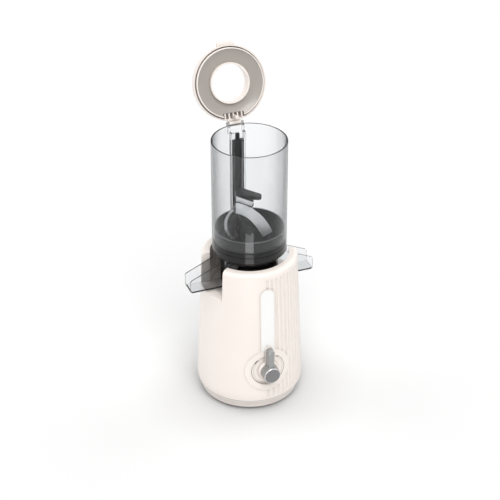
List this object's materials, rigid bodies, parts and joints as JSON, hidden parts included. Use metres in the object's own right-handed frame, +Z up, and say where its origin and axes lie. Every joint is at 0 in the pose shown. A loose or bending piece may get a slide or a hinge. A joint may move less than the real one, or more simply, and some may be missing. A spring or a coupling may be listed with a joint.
{
  "type": "slow juicer",
  "caption": "Upright slow juicer with a clear wide feed cup, hinged lid, slow pressing screw, strainer bowl with two open spouts, and a front dial.",
  "frame": {"origin": "where the axis of the pressing screw and motor meets the plane under the feet", "axes": "+Z up along the screw's axis, -Y to the front with the dial, +X to the juicer's left-hand spout as seen from behind"},
  "size_m": [0.212, 0.2202, 0.5822],
  "materials": {
    "cream_plastic": "smooth moulded cream plastic with a soft gloss",
    "white_strip": "plain white inlay with a soft gloss",
    "smoke_plastic": "glossy dark smoked translucent plastic",
    "dark_plastic": "dark grey moulded plastic with a satin surface",
    "clear_plastic": "clear lightly smoked food-safe plastic",
    "beige_plastic": "warm grey-beige satin plastic",
    "black_rubber": "soft matt black rubber",
    "orange_rubber": "soft silicone rubber",
    "silver_paint": "plastic with a satin silver coat",
    "grey_face": "mid grey satin plastic",
    "steel": "ground and brushed stainless steel",
    "screw_steel": "plated steel fasteners",
    "plated_iron": "zinc plated steel sheet",
    "cast_metal": "die-cast metal with a matt skin",
    "ferrite": "dark sintered magnet material",
    "lamination": "varnished copper windings on a laminated core",
    "copper": "turned copper bars",
    "nylon": "natural nylon",
    "green_board": "glass-fibre circuit board",
    "black_plastic": "black moulded plastic",
    "red_plastic": "red moulded plastic"
  },
  "bodies": {
    "base": {"housing": "cream_plastic", "panel_strip": "white_strip", "dial_plate": "cream_plastic", "base_cover": "cream_plastic", "feet": "black_rubber", "base_screws": "screw_steel", "cord_gland": "black_rubber", "switch_body": "black_plastic", "control_board": "green_board", "motor_can": "plated_iron", "motor_end_cap": "black_plastic", "motor_magnets": "ferrite", "motor_screws": "screw_steel", "motor_bearings": "steel", "gearbox_plate": "cast_metal", "gearbox_cover": "cast_metal", "gearbox_screws": "screw_steel", "idler_pin": "steel", "shaft_bearings": "steel", "shaft_seal": "black_rubber", "microswitch": "black_plastic"},
    "rotor": {"rotor_shaft": "steel", "armature": "lamination", "commutator": "copper", "cooling_fan": "nylon", "motor_pinion": "steel"},
    "idler": {"idler_gear": "nylon"},
    "drive": {"output_gear": "nylon", "drive_shaft": "steel", "screw": "dark_plastic", "screw_socket": "steel", "cutter_blade": "steel", "wing_blade": "steel"},
    "knob": {"knob_collar": "cream_plastic", "knob": "silver_paint", "knob_face": "grey_face"},
    "bowl": {"bowl": "smoke_plastic", "outlet_plug": "orange_rubber", "juice_spout": "clear_plastic", "pulp_spout": "clear_plastic", "strainer": "steel", "cup_gasket": "black_rubber"},
    "cup": {"cup": "clear_plastic", "hinge_pin": "steel"},
    "rod": {"interlock_rod": "dark_plastic"},
    "plunger": {"switch_plunger": "red_plastic"},
    "lid": {"lid_shell": "cream_plastic", "lid_liner": "beige_plastic"}
  },
  "joints": [
    {"name": "drive_spin", "type": "hinge", "parent": "base", "child": "drive", "pos_m": [0, 0, 0.2], "axis": [0, 0, 1], "continuous": true},
    {"name": "idler_spin", "type": "hinge", "parent": "base", "child": "idler", "pos_m": [0, 0.036, 0.15], "axis": [0, 0, 1], "continuous": true},
    {"name": "rotor_spin", "type": "hinge", "parent": "base", "child": "rotor", "pos_m": [0, 0, 0.1], "axis": [0, 0, 1], "continuous": true},
    {"name": "knob_turn", "type": "hinge", "parent": "base", "child": "knob", "pos_m": [0, -0.09, 0.082], "axis": [0, -1, 0], "range_deg": [-45, 45]},
    {"name": "bowl_turn", "type": "hinge", "parent": "base", "child": "bowl", "pos_m": [0, 0, 0.21], "axis": [0, 0, 1], "range_deg": [0, 20]},
    {"name": "cup_lift", "type": "slide", "parent": "bowl", "child": "cup", "axis": [0, 0, 1], "range_m": [0, 0.06]},
    {"name": "lid_hinge", "type": "hinge", "parent": "cup", "child": "lid", "pos_m": [0, 0.0642, 0.46], "axis": [1, 0, 0], "range_deg": [0, 108]},
    {"name": "rod_slide", "type": "slide", "parent": "cup", "child": "rod", "axis": [0, 0, -1], "range_m": [0, 0.004]},
    {"name": "plunger_slide", "type": "slide", "parent": "base", "child": "plunger", "axis": [0, 0, -1], "range_m": [0, 0.004]}
  ],
  "couplings": [
    {"joint": "idler_spin", "follows": "drive_spin", "ratio": -2.4286},
    {"joint": "rotor_spin", "follows": "drive_spin", "ratio": 9.7143},
    {"joint": "rod_slide", "follows": "lid_hinge", "m_per_rad": 0.002122},
    {"joint": "plunger_slide", "follows": "lid_hinge", "m_per_rad": 0.002122}
  ]
}
